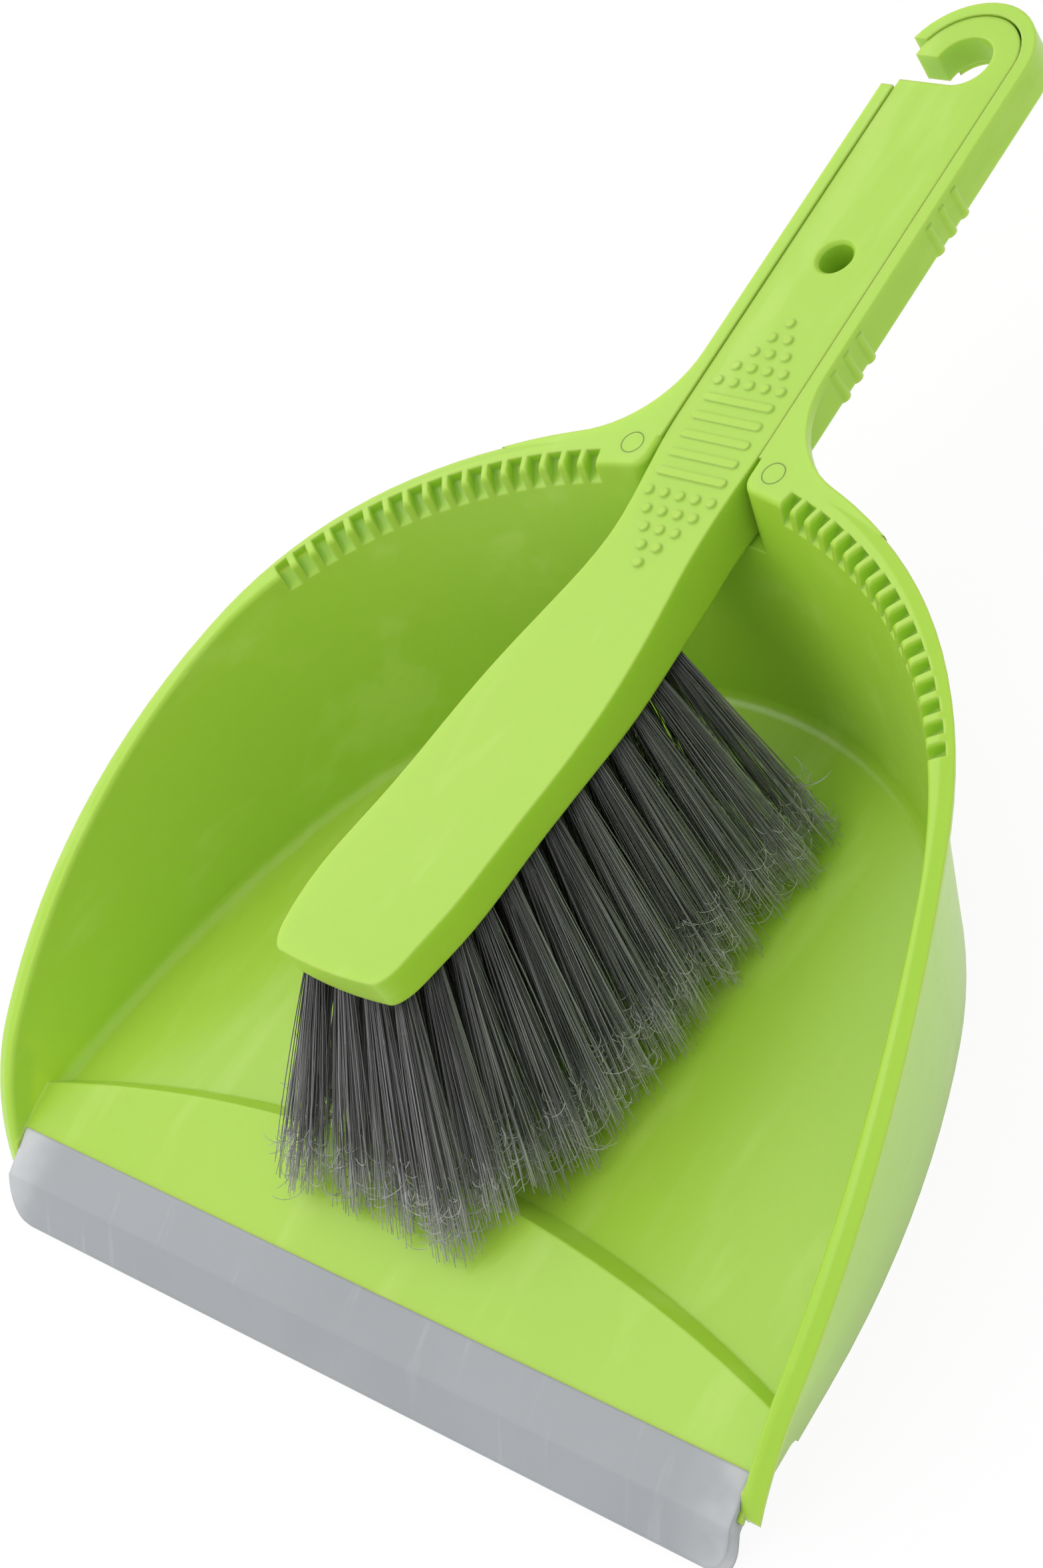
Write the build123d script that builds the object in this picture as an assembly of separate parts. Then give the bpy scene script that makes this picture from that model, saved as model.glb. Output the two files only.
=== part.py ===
from build123d import *
import math
import os

# Hand broom nested in its dustpan, bristles down, as it hangs or stands between uses.
# X runs across the dustpan, +Y runs from the lip to the hooks, Z is up from the ground.
# The origin is on the ground, below the middle of the whole set.

# Whole set
OVERALL_LENGTH = 330.0
RIM_HEIGHT = 61.0
OVERRUN = 20.0
CUT_OVERRUN = 1.0
EDGE_FINDING = 0.2

MOUTH_FROM_HOOK_END = 130.5

# Plan outlines of the dustpan, at the rim's height and then at the ground. Each one is the rear
# arc's radius, its centre's distance from the mouth, the half width and the widest place.
RIM_EDGE = ((112.3, 106.7, 127.7, 186.5), (103.6, 119.1, 109.8, 158.0))
WALL_OUTSIDE = ((113.1, 115.1, 125.2, 186.5), (97.7, 119.1, 105.0, 158.0))
WALL_INSIDE = ((111.1, 115.1, 123.1, 186.5), (95.5, 119.1, 104.6, 172.0))

# Side view of the rim
RIM_FALL_START = 20.0
RIM_FALL_RADIUS = 342.0
RIM_TIP_START = 165.0
RIM_TIP_RADIUS = 62.0
RIM_END = 189.0

# Flange, wall and floor
FLANGE_THICKNESS = 2.4
FLANGE_SLOPE_WIDTH = 3.0
FLANGE_SLOPE_DROP = 0.9
RIM_ROLL = 1.4
FOLD_ROUND = 3.0
SKIRT_THICKNESS = 2.2
CHEEK_INSET = 3.2
CHEEK_DEPTH = 7.0
FLOOR_THICKNESS = 2.0
WELL_REAR_HEIGHT = 2.2
WELL_REAR = 32.0
WELL_SLOPE = 3.85
APRON_REAR = 154.0
APRON_ARC_RADIUS = 336.0
APRON_STEP_SLOPE = 54.0
APRON_STEP_FOOT = 4.2
APRON_FRONT_HEIGHT = 13.2
APRON_SLOPE = 6.8
SKIRT_STEP = 170.0
SKIRT_STEP_HEIGHT = 3.0
SKIRT_STEP_ROUND = 2.5

# Comb in the rim
COMB_SLOTS = 17
COMB_HEIGHT_STEPS = 4
COMB_FIRST_ANGLE = 15.5
COMB_PITCH = 5.28
COMB_SLOT_WIDTH = 3.0
COMB_SLOT_FLARE = 0.35
COMB_SLOT_FLARE_DEPTH = 0.9
COMB_SLOT_LENGTH = 3.8
COMB_SLOT_DEPTH = 2.5
COMB_SLOT_FALL = 24.0
COMB_BACKING_DEPTH = 6.2
COMB_BACKING_INSET = 1.2

# Lip along the dustpan's front edge
LIP_REAR = 181.8
LIP_CREASE = 192.6
LIP_FRONT = 199.5
LIP_CREASE_DROP = 3.6
LIP_LEAF = 1.3
LIP_TIP_THICKNESS = 1.8
LIP_TIP_LENGTH = 2.0
TONGUE_LENGTH = 8.6
TONGUE_THICKNESS = 1.3
TONGUE_CLEARANCE = 0.03
FRONT_RIB_LENGTH = 3.0
LIP_HALF_WIDTH = 108.1
LIP_CORNER_ROUND = 6.0
LIP_END_CLEARANCE = 0.1
TONGUE_ROOT = 1.0

# Dustpan handle, a channel that holds the broom's handle
BROOM_HALF_WIDTH = 13.3
BROOM_CLEARANCE = 0.5
BROOM_SEAT_GAP = 0.3
CHANNEL_HOLE_MARGIN = 0.9
CHANNEL_WALL = 3.3
CHANNEL_FLOOR = 1.5
BROOM_HANDLE_THICKNESS = 7.6
NECK_ROUND = 28.0
NECK_FLAT = 36.0
JAW_ROUND = 4.0
HANDLE_EDGE_ROUND = 0.8
MOUTH_FLOOR_DEPTH = 15.4
MOUTH_FLOOR_REACH = 3.0
GUSSET_REACH = 7.0

# Grip ribs on the outside of the channel
RIB_GROUP_CENTRES = (33.2, 74.2)
RIBS_IN_GROUP = 3
RIB_PITCH = 5.35
RIB_WIDTH = 2.5
RIB_STAND = 0.5
RIB_TOP_DROP = 1.6

# Hooks at the handles' ends
HOOK_RADIUS = 13.3
HOOK_HOLE_RADIUS = 7.1
HOOK_TIP_LIFT = 0.3
PAN_HOOK_TIP = 4.8
PAN_SHOULDER = 9.1

# Broom seen from above: half width at places along it from the mouth, minus being the block
BROOM_HANDLE_START = 9.5
BROOM_PLAN = [
    (-4.7, 12.4), (-22.0, 11.7), (-38.0, 13.7), (-57.0, 16.5), (-72.0, 17.6), (-98.0, 18.0),
    (-119.0, 18.5), (-130.0, 17.3),
]
BLOCK_FRONT = 139.2
BLOCK_FRONT_HALF_WIDTH = 13.0
BLOCK_FRONT_CORNER = (-136.2, 15.6)
BLOCK_FRONT_SAG = 0.8
BLOCK_FRONT_SLOPE = 0.12

# Broom seen from the side: heights from the handle's top at places along it from the mouth
BROOM_TOP_DROP = 0.3
BROOM_TOP_START = 16.0
BROOM_TOP = [
    (-4.7, -0.7), (-19.0, -1.45), (-32.0, -1.3), (-57.0, 0.7), (-85.5, 3.8), (-114.0, 8.0), (-128.0, 9.8),
]
BLOCK_TOP_AT_FRONT = 10.5
NECK_START = 1.0
NECK_FULL = 4.5
BROOM_UNDERSIDE = [
    (-12.0, -14.3), (-26.0, -14.4), (-38.0, -12.5), (-57.0, -9.3), (-76.0, -5.9), (-104.5, -2.1), (-123.5, 0.6),
]
BLOCK_UNDERSIDE_AT_FRONT = 2.4
BLOCK_END_SLOPE = 0.1
HANG_HOLE = 56.4
HANG_HOLE_RADIUS = 4.1
HANG_HOLE_BEVEL = 0.8

# Grip dots and ridges on the broom's handle
DOT_PITCH = 4.37
DOT_RADIUS = 1.15
DOT_HEIGHT = 0.5
DOTS_IN_LONGEST_ROW = 5
UPPER_DOTS = 19.8
LOWER_DOTS = 9.9
RIDGES = 5
RIDGE_PITCH = 5.0
RIDGE_FIRST_PLACE = 15.2
RIDGE_HALF_LENGTH = 9.6
RIDGE_WIDTH = 2.1
RIDGE_HEIGHT = 0.5

# Bristles, in rows of tufts across the block
TUFT_ROWS = 13
TUFTS_ACROSS = 4
FIRST_ROW = 39.5
LAST_ROW = 133.0
BED_RIM = 1.3
BED_THICKNESS = 2.0
BED_GAP = 0.1
BED_CLEARANCE = 0.03
BED_FRONT_MARGIN = 4.2
TUFT_EDGE_MARGIN = 4.2
TUFT_RADIUS = 1.6
STRANDS_IN_TUFT = 8
STRAND_RADIUS = 0.45
STRAND_TIP_SHARE = 0.75
STRAND_SIDES = 3
STRAND_ROOT_SINK = 0.8
ROOT_PLUG_RADIUS = 2.1
ROOT_HOLE_CLEARANCE = 0.05
ROOT_DEPTH = 2.8
FIRST_TIP = 52.0
LAST_TIP = 166.0
TIP_HALF_WIDTHS = (37.0, 37.0, 36.5, 36.0, 35.5, 35.0, 34.5, 34.0, 33.0, 31.5, 29.5, 26.5, 23.0)
TIP_SPREAD_ACROSS = 3.0
TIP_SPREAD_ALONG = 2.2
TIP_GAP = 1.0
TIP_RAGGED = 1.6

# Wire anchors that hold the tufts in their holes
ANCHOR_LENGTH = 4.0
ANCHOR_HEIGHT = 1.4
ANCHOR_THICKNESS = 0.4

# Places worked out from the sizes above
MOUTH = OVERALL_LENGTH / 2 - MOUTH_FROM_HOOK_END
HOOK_CENTRE = OVERALL_LENGTH / 2 - HOOK_RADIUS - BROOM_CLEARANCE - CHANNEL_WALL
CHANNEL_HALF_WIDTH = BROOM_HALF_WIDTH + BROOM_CLEARANCE
PAN_HANDLE_HALF_WIDTH = CHANNEL_HALF_WIDTH + CHANNEL_WALL
CHANNEL_DEPTH = BROOM_TOP_DROP + BROOM_HANDLE_THICKNESS + BROOM_SEAT_GAP
PAN_HANDLE_DEPTH = CHANNEL_DEPTH + CHANNEL_FLOOR
WELL_RATIO = math.tan(math.radians(WELL_SLOPE))
APRON_RATIO = math.tan(math.radians(APRON_SLOPE))
FRONT_EDGE = MOUTH - LIP_FRONT
RIB_RADIUS = (RIB_WIDTH ** 2 / 4 + RIB_STAND ** 2) / (RIB_STAND * 2)
REAR_ARC_RADIUS, REAR_ARC_CENTRE, RIM_HALF_WIDTH, RIM_WIDEST = RIM_EDGE[0]
FAR_WIDTH = RIM_HALF_WIDTH + OVERRUN


def side_prism(points, half_width=FAR_WIDTH):
    """A solid with the given outline in the side view, as wide as half_width each way."""
    face = make_face(Polyline(*[(0, y, z) for y, z in points], close=True))
    return extrude(face, amount=half_width, dir=(1, 0, 0), both=True)


def plan_prism(face, low, high):
    """A solid with the given outline seen from above, between two heights."""
    return extrude(Pos(0, 0, low) * face, amount=high - low, dir=(0, 0, 1))


def outline_sizes(outline, height, inset=0.0):
    """Rear radius and centre, half width and its place, of one of the outlines at a height."""
    share = height / RIM_HEIGHT
    radius, centre, half_width, widest = [low + (high - low) * share for high, low in zip(*outline)]
    return radius - inset, MOUTH - centre, half_width - inset, MOUTH - widest


def plan_outline(outline, height, inset=0.0):
    """An outline in plan at a height: one rear arc, two side arcs and straight ends to the front."""
    rear_radius, rear_y, half_width, side_y = outline_sizes(outline, height, inset)
    away = rear_y - side_y
    side_radius = (half_width ** 2 + away ** 2 - rear_radius ** 2) / (2 * (half_width - rear_radius))
    side_x = half_width - side_radius
    lean = math.atan2(away, -side_x)
    join = (rear_radius * math.cos(lean), rear_y + rear_radius * math.sin(lean))
    middle = (side_x + side_radius * math.cos(lean / 2), side_y + side_radius * math.sin(lean / 2))
    widest = (half_width, side_y)
    front = (half_width, FRONT_EDGE - OVERRUN)
    mirror = [(-x, y) for x, y in (join, middle, widest, front)]
    edges = [
        ThreePointArc(mirror[0], (0, rear_y + rear_radius), join),
        ThreePointArc(join, middle, widest),
        Line(widest, front),
        Line(front, mirror[3]),
        Line(mirror[3], mirror[2]),
        ThreePointArc(mirror[2], mirror[1], mirror[0]),
    ]
    return Pos(0, 0, height) * make_face(edges)


def drafted(outline, inset=0.0, low=-OVERRUN, high=RIM_HEIGHT + OVERRUN):
    """One of the outlines as a solid whose sides lean outward with the mould's draft."""
    return loft([plan_outline(outline, low, inset), plan_outline(outline, high, inset)], ruled=True)


def rim_height_at(y):
    """Height of the rim's top at a place along the pan: level, then a long arc, then the tip's arc."""
    start = MOUTH - RIM_FALL_START
    tip = MOUTH - RIM_TIP_START
    fall = max(0.0, start - max(y, tip))
    height = RIM_HEIGHT - RIM_FALL_RADIUS + math.sqrt(RIM_FALL_RADIUS ** 2 - fall ** 2)
    if y >= tip:
        return height
    lean = fall / RIM_FALL_RADIUS
    turn = lean + (tip - y) / RIM_TIP_RADIUS
    return height - RIM_TIP_RADIUS * (math.sqrt(1 - lean ** 2) - math.sqrt(1 - turn ** 2))


def under_rim(drop=0.0):
    """Everything below the rim's top line, lowered by drop."""
    start = MOUTH - RIM_FALL_START
    tip = MOUTH - RIM_TIP_START
    end = MOUTH - RIM_END - CUT_OVERRUN
    far = OVERALL_LENGTH

    def top(y):
        return (0, y, rim_height_at(y) - drop)

    edges = [
        Line((0, far, -OVERRUN * 2), top(far)),
        Line(top(far), top(start)),
        ThreePointArc(top(start), top((start + tip) / 2), top(tip)),
        ThreePointArc(top(tip), top((tip + end) / 2), top(end)),
        Line(top(end), (0, end, -OVERRUN * 2)),
        Line((0, end, -OVERRUN * 2), (0, far, -OVERRUN * 2)),
    ]
    return extrude(make_face(edges), amount=FAR_WIDTH, dir=(1, 0, 0), both=True)


def well_height(y):
    """Height of the well's floor, which falls gently towards the back."""
    return WELL_REAR_HEIGHT + (MOUTH - WELL_REAR - y) * WELL_RATIO


def apron_height(y):
    """Height of the apron that leads from the lip up to its crest."""
    return APRON_FRONT_HEIGHT + (y - (MOUTH - LIP_REAR)) * APRON_RATIO


def under_floor(drop=0.0):
    """Everything below the floor's surface, with the apron's curved step, lowered by drop."""
    back = MOUTH
    front = FRONT_EDGE - OVERRUN
    well = side_prism([
        (back, -OVERRUN * 2), (back, well_height(back) - drop),
        (front, well_height(front) - drop), (front, -OVERRUN * 2),
    ])
    crest = MOUTH - APRON_REAR
    apron = side_prism([
        (back, -OVERRUN * 2), (back, apron_height(back) - drop),
        (front, apron_height(front) - drop), (front, -OVERRUN * 2),
    ])
    crest_height = apron_height(crest) - drop
    spread = 1 / math.tan(math.radians(APRON_STEP_SLOPE))
    low_radius = APRON_ARC_RADIUS + (crest_height + OVERRUN * 2) * spread
    high_radius = APRON_ARC_RADIUS - OVERRUN * spread
    cone_height = crest_height + OVERRUN * 2 + OVERRUN
    cone = Pos(0, crest - APRON_ARC_RADIUS, -OVERRUN * 2) * Cone(
        low_radius, high_radius, cone_height, align=(Align.CENTER, Align.CENTER, Align.MIN))
    return well + (apron & cone)


def comb_places():
    """Angle about the rear arc's centre of each comb slot, first beside the handle."""
    step = math.degrees(COMB_PITCH / REAR_ARC_RADIUS)
    return [COMB_FIRST_ANGLE + i * step for i in range(COMB_SLOTS)]


def flange_width_at(turn, height):
    """Width of the flange along a line from the rear arc's centre."""
    rim_radius, rim_y, _width, _place = outline_sizes(RIM_EDGE, height)
    radius, rear_y, _width, _place = outline_sizes(WALL_INSIDE, height)
    shift = rim_y - rear_y
    return rim_radius + shift * math.sin(turn) - math.sqrt(radius ** 2 - (shift * math.cos(turn)) ** 2)


def comb_slot(angle, side):
    """One pocket of the comb, flared at its top, open to the inside, with a floor that falls inward."""
    turn = math.radians(90 - angle)
    top = RIM_HEIGHT
    for _ in range(COMB_HEIGHT_STEPS):
        radius, rear_y, _width, _place = outline_sizes(RIM_EDGE, top)
        x, y = radius * math.cos(turn), rear_y + radius * math.sin(turn)
        top = rim_height_at(y)
    outer = COMB_SLOT_LENGTH - flange_width_at(turn, top)
    inner = outer - COMB_SLOT_LENGTH - OVERRUN / 2
    deep = COMB_SLOT_DEPTH + (outer - inner) * math.tan(math.radians(COMB_SLOT_FALL))
    along = make_face(Polyline(
        (outer, 0, OVERRUN), (outer, 0, -COMB_SLOT_DEPTH), (inner, 0, -deep), (inner, 0, OVERRUN), close=True))
    half = COMB_SLOT_WIDTH / 2
    wide = half + COMB_SLOT_FLARE
    across = make_face(Polyline(
        (inner, half, -deep), (inner, half, -COMB_SLOT_FLARE_DEPTH), (inner, wide, 0), (inner, wide, OVERRUN),
        (inner, -wide, OVERRUN), (inner, -wide, 0), (inner, -half, -COMB_SLOT_FLARE_DEPTH), (inner, -half, -deep),
        close=True))
    slot = extrude(along, amount=COMB_SLOT_WIDTH, dir=(0, 1, 0), both=True)
    slot = slot & extrude(across, amount=outer - inner, dir=(1, 0, 0))
    placed = Pos(x, y, top) * Rot(0, 0, 90 - angle) * slot
    return placed if side > 0 else placed.mirror(Plane.YZ)


def outline_gap(outline, x, y, z):
    """How far a point lies outside one of the outlines at its height."""
    rear_radius, rear_y, half_width, side_y = outline_sizes(outline, z)
    away = rear_y - side_y
    side_radius = (half_width ** 2 + away ** 2 - rear_radius ** 2) / (2 * (half_width - rear_radius))
    side_x = half_width - side_radius
    if y < side_y:
        return abs(x) - half_width
    if (y - side_y) * -side_x < (abs(x) - side_x) * away:
        return math.hypot(abs(x) - side_x, y - side_y) - side_radius
    return math.hypot(x, y - rear_y) - rear_radius


def edges_on(solid, outline, height_at):
    """The solid's edges that follow an outline at a height that depends on the place along the pan."""
    found = []
    for edge in solid.edges():
        spot = edge.position_at(0.5)
        if abs(spot.Z - height_at(spot.Y)) < EDGE_FINDING and abs(
                outline_gap(outline, spot.X, spot.Y, spot.Z)) < EDGE_FINDING:
            found.append(edge)
    return found


def rim_block():
    """The rim's full depth as a block, its top level inside and sloping down along the outer edge."""
    block = drafted(RIM_EDGE) & under_rim()
    rear = [e for e in edges_on(block, RIM_EDGE, rim_height_at) if abs(e.position_at(0.5).X) < EDGE_FINDING]
    top = block.faces().sort_by(Axis.Z)[-1]
    return chamfer(rear, FLANGE_SLOPE_WIDTH, FLANGE_SLOPE_DROP, reference=top)


def comb_backing(block):
    """The deeper stretch of rim that the comb's pockets are sunk into, on both sides."""
    places = comb_places()
    margin = math.degrees(COMB_PITCH / REAR_ARC_RADIUS)
    first, last = places[0] - margin, places[-1] + margin
    centre = (0, MOUTH - REAR_ARC_CENTRE)
    far = REAR_ARC_RADIUS + OVERRUN

    def spot(angle, sign):
        turn = math.radians(90 - angle)
        return (sign * far * math.cos(turn) * 2, centre[1] + far * math.sin(turn) * 2)

    wedges = [make_face(Polyline(centre, spot(first, s), spot((first + last) / 2, s), spot(last, s), close=True))
              for s in (1, -1)]
    zone = plan_prism(wedges[0] + wedges[1], 0, RIM_HEIGHT + OVERRUN)
    return (block & drafted(RIM_EDGE, COMB_BACKING_INSET) & zone) - under_rim(COMB_BACKING_DEPTH)


def handle_plan(half_width, radius, front):
    """A straight handle that ends in a round head."""
    strip = Pos(0, (front + HOOK_CENTRE) / 2) * Rectangle(half_width * 2, HOOK_CENTRE - front)
    return strip + Pos(0, HOOK_CENTRE) * Circle(radius)


def hook_opening(hole_radius, low, high, inner_end):
    """The hook's hole and its way out to the left, between two places beside the hole's centre."""
    gap = Pos((inner_end - FAR_WIDTH) / 2, HOOK_CENTRE + (low + high) / 2) * Rectangle(
        FAR_WIDTH + inner_end, high - low)
    return gap + Pos(0, HOOK_CENTRE) * Circle(hole_radius)


def pan_handle():
    """The channel handle's outer body with its grip ribs and the gusset under its root."""
    front = MOUTH - REAR_ARC_CENTRE
    body = handle_plan(PAN_HANDLE_HALF_WIDTH, HOOK_RADIUS + BROOM_CLEARANCE + CHANNEL_WALL, front)
    low = RIM_HEIGHT - PAN_HANDLE_DEPTH
    solid = plan_prism(body, low, RIM_HEIGHT)
    edges = solid.faces().sort_by(Axis.Z)[0].edges()
    solid = fillet(edges, HANDLE_EDGE_ROUND)
    gusset = Pos(0, MOUTH + GUSSET_REACH, RIM_HEIGHT) * Box(
        PAN_HANDLE_HALF_WIDTH * 2, REAR_ARC_RADIUS / 2, MOUTH_FLOOR_DEPTH + CHANNEL_FLOOR,
        align=(Align.CENTER, Align.MAX, Align.MAX))
    solid += gusset
    for group in RIB_GROUP_CENTRES:
        for i in range(RIBS_IN_GROUP):
            y = MOUTH + group + (i - (RIBS_IN_GROUP - 1) / 2) * RIB_PITCH
            for side in (-1, 1):
                place = side * (PAN_HANDLE_HALF_WIDTH + RIB_STAND - RIB_RADIUS)
                solid += Pos(place, y, low) * Cylinder(
                    RIB_RADIUS, PAN_HANDLE_DEPTH - RIB_TOP_DROP, align=(Align.CENTER, Align.CENTER, Align.MIN))
    return solid


def neck_plate():
    """The flange's flat shoulders, which run into the handle in two large rounds."""
    outline = Pos(0, 0, -RIM_HEIGHT) * plan_outline(RIM_EDGE, RIM_HEIGHT)
    strip = Pos(0, MOUTH) * Rectangle(PAN_HANDLE_HALF_WIDTH * 2, OVERALL_LENGTH / 4)
    plan = outline + strip
    near = REAR_ARC_RADIUS / 4
    corners = [v for v in plan.vertices()
               if abs(abs(v.X) - PAN_HANDLE_HALF_WIDTH) < BROOM_CLEARANCE and abs(v.Y - MOUTH) < near]
    plan = fillet(corners, NECK_ROUND)
    keep = Pos(0, MOUTH + OVERRUN) * Rectangle(REAR_ARC_RADIUS, REAR_ARC_RADIUS / 2)
    plate = plan_prism(plan & keep, RIM_HEIGHT - FLANGE_THICKNESS, RIM_HEIGHT)
    slope_end = REAR_ARC_RADIUS / 2
    roof = make_face(Polyline(
        (-slope_end, 0, 0), (-slope_end, 0, RIM_HEIGHT - FLANGE_SLOPE_DROP), (-NECK_FLAT, 0, RIM_HEIGHT),
        (NECK_FLAT, 0, RIM_HEIGHT), (slope_end, 0, RIM_HEIGHT - FLANGE_SLOPE_DROP), (slope_end, 0, 0), close=True))
    return plate & extrude(roof, amount=OVERALL_LENGTH, dir=(0, 1, 0), both=True)


def pan_inside():
    """The space inside the rim together with the handle's mouth, with rounded jaws between them."""
    inside = drafted(WALL_INSIDE, high=RIM_HEIGHT + CUT_OVERRUN)
    mouth = Pos(0, MOUTH + MOUTH_FLOOR_REACH, RIM_HEIGHT - MOUTH_FLOOR_DEPTH) * Box(
        CHANNEL_HALF_WIDTH * 2, REAR_ARC_RADIUS / 2, MOUTH_FLOOR_DEPTH + CUT_OVERRUN,
        align=(Align.CENTER, Align.MAX, Align.MIN))
    space = inside + mouth
    jaws = [e for e in space.edges()
            if abs(abs(e.center().X) - CHANNEL_HALF_WIDTH) < BROOM_CLEARANCE
            and abs(e.tangent_at(0.5).Z) > 0.5 and e.center().Y < MOUTH]
    return fillet(jaws, JAW_ROUND)


def channel_space():
    """The space along the handle that holds the broom's handle."""
    front = MOUTH - JAW_ROUND
    channel = handle_plan(CHANNEL_HALF_WIDTH, HOOK_RADIUS + BROOM_CLEARANCE, front)
    return plan_prism(channel, RIM_HEIGHT - CHANNEL_DEPTH, RIM_HEIGHT + OVERRUN)


def pan_hook_space():
    """The hook's opening, which goes through the channel's floor and out through its left wall."""
    margin = CHANNEL_HOLE_MARGIN
    floor = hook_opening(HOOK_HOLE_RADIUS + margin, -HOOK_HOLE_RADIUS - margin, HOOK_TIP_LIFT + margin, 0)
    wall = hook_opening(HOOK_HOLE_RADIUS + margin, -PAN_SHOULDER, PAN_HOOK_TIP, -HOOK_HOLE_RADIUS)
    low = RIM_HEIGHT - PAN_HANDLE_DEPTH - OVERRUN
    space = plan_prism(floor + wall, low, RIM_HEIGHT + OVERRUN)
    return space


def lip_points(inset=0.0):
    """The lip's outline in the side view, from its rear top edge round to its underside."""
    rear = MOUTH - LIP_REAR
    crease = MOUTH - LIP_CREASE
    front = MOUTH - LIP_FRONT
    top = apron_height(rear)
    fall = LIP_CREASE_DROP / (LIP_CREASE - LIP_REAR)
    deep = LIP_LEAF * 2 + TONGUE_THICKNESS
    under = MOUTH - LIP_REAR - TONGUE_LENGTH - LIP_LEAF
    return [
        (rear, top), (crease, top - LIP_CREASE_DROP), (front, LIP_TIP_THICKNESS), (front, 0),
        (front + LIP_TIP_LENGTH, 0), (under, top - deep - fall * (rear - under)), (rear, top - deep),
    ]


def tongue_points(clearance=0.0):
    """The pan's thin front tongue, which the lip grips."""
    rear = MOUTH - LIP_REAR
    top = apron_height(rear) - LIP_LEAF + clearance
    fall = LIP_CREASE_DROP / (LIP_CREASE - LIP_REAR)
    front = rear - TONGUE_LENGTH - clearance
    back = rear + clearance * 2
    thick = TONGUE_THICKNESS + clearance * 2
    drop = fall * (rear - front)
    return [(back, top), (front, top - drop), (front, top - drop - thick), (back, top - thick)]


def skirt_cut():
    """What lies below the ground, and the step up in the skirt beside the lip."""
    step = MOUTH - SKIRT_STEP
    far = FRONT_EDGE - OVERRUN * 3
    ground = side_prism([(OVERALL_LENGTH, 0), (far, 0), (far, -OVERRUN * 3), (OVERALL_LENGTH, -OVERRUN * 3)])
    notch = side_prism([(step, -OVERRUN), (step, SKIRT_STEP_HEIGHT), (far, SKIRT_STEP_HEIGHT), (far, -OVERRUN)])
    corner = notch.edges().filter_by(Axis.X).sort_by(Axis.Y)[-2:].sort_by(Axis.Z)[-1]
    return ground + fillet(corner, SKIRT_STEP_ROUND)


def front_block(half_width, low):
    """The space ahead of the apron, where the lip goes."""
    rear = MOUTH - LIP_REAR
    length = rear - FRONT_EDGE + OVERRUN
    return Pos(0, rear, low) * Box(
        half_width * 2, length, RIM_HEIGHT - low, align=(Align.CENTER, Align.MAX, Align.MIN))


def cheeks(block):
    """The thick front ends of the rim, ahead of the step in the skirt, that hold the lip's ends."""
    step = MOUTH - SKIRT_STEP + SKIRT_STEP_ROUND
    length = step - FRONT_EDGE
    zone = Pos(0, step, SKIRT_STEP_HEIGHT) * Box(
        FAR_WIDTH * 2, length, RIM_HEIGHT, align=(Align.CENTER, Align.MAX, Align.MIN))
    return (block & drafted(RIM_EDGE, CHEEK_INSET) & zone) - under_rim(CHEEK_DEPTH)


def soft_edges(pan):
    """The pan with its rim's inner edge rolled and the fold between its wall and floor rounded."""
    pan = fillet(edges_on(pan, WALL_INSIDE, rim_height_at), RIM_ROLL)
    return fillet(edges_on(pan, WALL_INSIDE, well_height), FOLD_ROUND)


def dustpan():
    """The dustpan, one moulding: flange, drafted wall, stepped floor, comb and channel handle."""
    block = rim_block()
    flange = block - under_rim(FLANGE_THICKNESS)
    wall = block & drafted(WALL_OUTSIDE)
    pan = flange + wall + cheeks(block) + comb_backing(block) + neck_plate() + pan_handle()
    cavity = pan_inside() - under_floor()
    below = drafted(WALL_OUTSIDE, SKIRT_THICKNESS) & under_floor(FLOOR_THICKNESS)
    rear = MOUTH - LIP_REAR
    top = apron_height(rear)
    low = top - LIP_LEAF * 2 - TONGUE_THICKNESS
    front_rib = side_prism([
        (rear + FRONT_RIB_LENGTH, top), (rear, top), (rear, low), (rear + FRONT_RIB_LENGTH, low),
    ], LIP_HALF_WIDTH)
    tongue = side_prism(tongue_points(), LIP_HALF_WIDTH + TONGUE_ROOT)
    pan = soft_edges(pan - cavity)
    pan = pan - (below - front_rib) - front_block(LIP_HALF_WIDTH + LIP_END_CLEARANCE, -OVERRUN)
    pan = pan & Pos(0, MOUTH - RIM_END, -OVERRUN) * Box(
        FAR_WIDTH * 2, OVERALL_LENGTH, OVERALL_LENGTH, align=(Align.CENTER, Align.MIN, Align.MIN))
    pan = pan + tongue
    slots = [comb_slot(angle, side) for angle in comb_places() for side in (-1, 1)]
    pan = pan - channel_space() - pan_hook_space() - slots
    return pan - skirt_cut()


def rubber_lip():
    """The soft lip, which grips the pan's front tongue and meets the ground in a thin edge."""
    lip = side_prism(lip_points()) - side_prism(tongue_points(TONGUE_CLEARANCE))
    rear = MOUTH - LIP_REAR
    keep = Pos(0, (rear + FRONT_EDGE) / 2) * Rectangle(LIP_HALF_WIDTH * 2, rear - FRONT_EDGE)
    keep = fillet(keep.vertices().sort_by(Axis.Y)[:2], LIP_CORNER_ROUND)
    return lip & plan_prism(keep, -OVERRUN, RIM_HEIGHT)


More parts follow.
